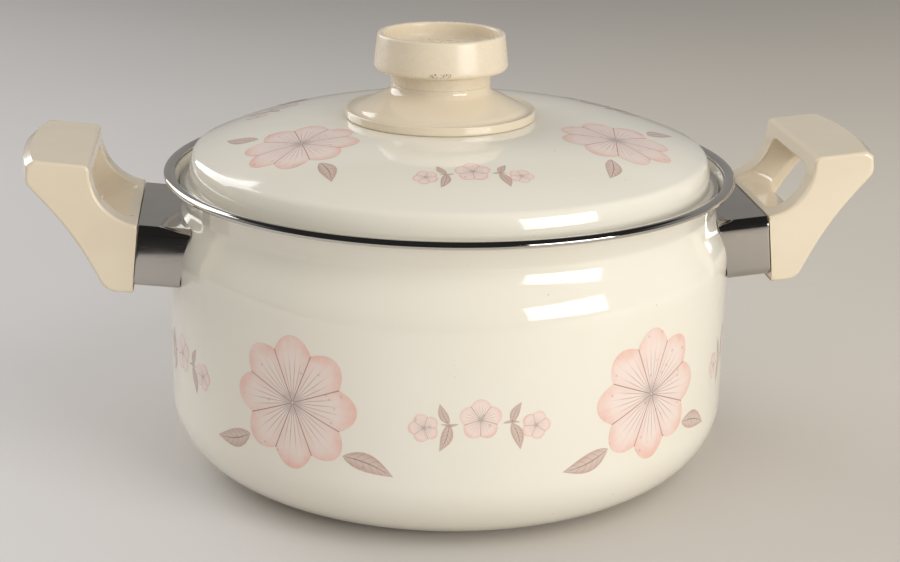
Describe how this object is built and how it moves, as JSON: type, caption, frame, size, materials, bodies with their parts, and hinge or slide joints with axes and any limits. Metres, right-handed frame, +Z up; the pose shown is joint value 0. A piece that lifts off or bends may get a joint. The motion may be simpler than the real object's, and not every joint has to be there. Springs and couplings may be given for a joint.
{
  "type": "dutch oven",
  "caption": "Enamelled steel dutch oven with a domed drop-in lid, a dished spool knob and moulded side handles on steel ferrules.",
  "frame": {"origin": "centre of the base, on the table", "axes": "+Z up, +X towards the right handle, -Y towards the side with a small spray between large blossoms"},
  "size_m": [0.37, 0.2516, 0.1928],
  "materials": {
    "enamel": "gloss",
    "band_steel": "polished",
    "ferrule_steel": "polished",
    "fixing_steel": "satin",
    "phenolic": "gloss",
    "brass": "satin",
    "rubber": "matt",
    "print_rose": "gloss",
    "print_taupe": "gloss"
  },
  "bodies": {
    "root": {"pot_body": "enamel", "lid": "enamel", "rim_band": "band_steel", "lid_band": "band_steel", "ferrule_right": "ferrule_steel", "ferrule_left": "ferrule_steel", "bracket_right": "fixing_steel", "bracket_left": "fixing_steel", "bracket_nut_right": "fixing_steel", "bracket_nut_left": "fixing_steel", "handle_washer_right": "fixing_steel", "handle_washer_left": "fixing_steel", "handle_screw_right": "fixing_steel", "handle_screw_left": "fixing_steel", "knob_washer": "fixing_steel", "knob_screw": "fixing_steel", "handle_right": "phenolic", "handle_left": "phenolic", "knob_base": "phenolic", "knob_spool": "phenolic", "knob_insert": "brass", "knob_gasket": "rubber", "pot_blossoms": "print_rose", "lid_blossoms": "print_rose", "pot_leaves": "print_taupe", "lid_leaves": "print_taupe"}
  },
  "joints": []
}
